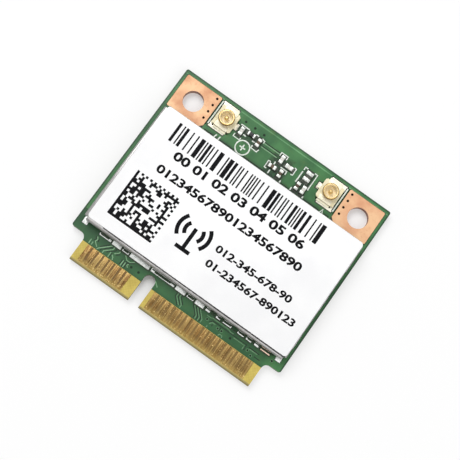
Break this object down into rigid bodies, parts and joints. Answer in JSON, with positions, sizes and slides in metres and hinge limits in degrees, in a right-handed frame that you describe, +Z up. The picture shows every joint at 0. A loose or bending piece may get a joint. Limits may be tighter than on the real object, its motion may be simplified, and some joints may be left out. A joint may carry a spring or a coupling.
{
  "type": "laptop wifi card",
  "caption": "Half-length plug-in radio card: green board with keyed gold edge contacts, shield can with white label, coaxial antenna jacks and screw holes with copper lands.",
  "frame": {"origin": "centre of the card's bounding box on the plane of its lowest pads and contacts", "axes": "+X along the card's width, +Y from the contact edge towards the screw holes, +Z up through the shield"},
  "size_m": [0.03, 0.0268, 0.0027],
  "materials": {
    "laminate": "bare glass-fibre laminate, yellow",
    "solder_mask": "green lacquer, satin gloss",
    "contact_gold": "gold-plated copper",
    "pad_copper": "bare copper under a clear preservative",
    "solder_tin": "bright tin solder",
    "shield_steel": "tin-plated steel sheet, satin",
    "label_paper": "white coated label stock",
    "jack_plastic": "cream moulded insulator",
    "jack_gold": "gold plating, bright",
    "capacitor_ceramic": "fired tan ceramic",
    "resistor_black": "black glaze",
    "inductor_ceramic": "pale ceramic",
    "filter_ceramic": "grey-green ceramic",
    "chip_plastic": "black moulding compound",
    "coil_ferrite": "dark ferrite"
  },
  "bodies": {
    "root": {"circuit_board": "laminate", "ground_vias": "pad_copper", "solder_mask_top": "solder_mask", "solder_mask_bottom": "solder_mask", "short_contacts_top": "contact_gold", "long_contacts_top": "contact_gold", "short_contacts_bottom": "contact_gold", "long_contacts_bottom": "contact_gold", "left_ground_pad_top": "pad_copper", "right_ground_pad_top": "pad_copper", "left_ground_pad_bottom": "pad_copper", "right_ground_pad_bottom": "pad_copper", "shield_solder": "solder_tin", "shield_frame": "shield_steel", "shield_cover": "shield_steel", "label": "label_paper", "left_jack_base": "jack_plastic", "left_jack_shell": "jack_gold", "left_jack_pin": "jack_gold", "right_jack_base": "jack_plastic", "right_jack_shell": "jack_gold", "right_jack_pin": "jack_gold", "jack_solder": "solder_tin", "chip_capacitors": "capacitor_ceramic", "chip_resistor": "resistor_black", "chip_inductors": "inductor_ceramic", "band_filter": "filter_ceramic", "chip_end_caps": "solder_tin", "chip_solder": "solder_tin", "radio_chip": "chip_plastic", "radio_chip_terminals": "solder_tin", "crystal_base": "filter_ceramic", "crystal_lid": "shield_steel", "memory_chip": "chip_plastic", "memory_chip_leads": "solder_tin", "regulator": "chip_plastic", "regulator_leads": "solder_tin", "power_coil": "coil_ferrite", "power_coil_bands": "solder_tin", "inner_capacitors": "capacitor_ceramic", "inner_filters": "filter_ceramic", "inner_chip_caps": "solder_tin", "inner_lands": "solder_tin"}
  },
  "joints": []
}
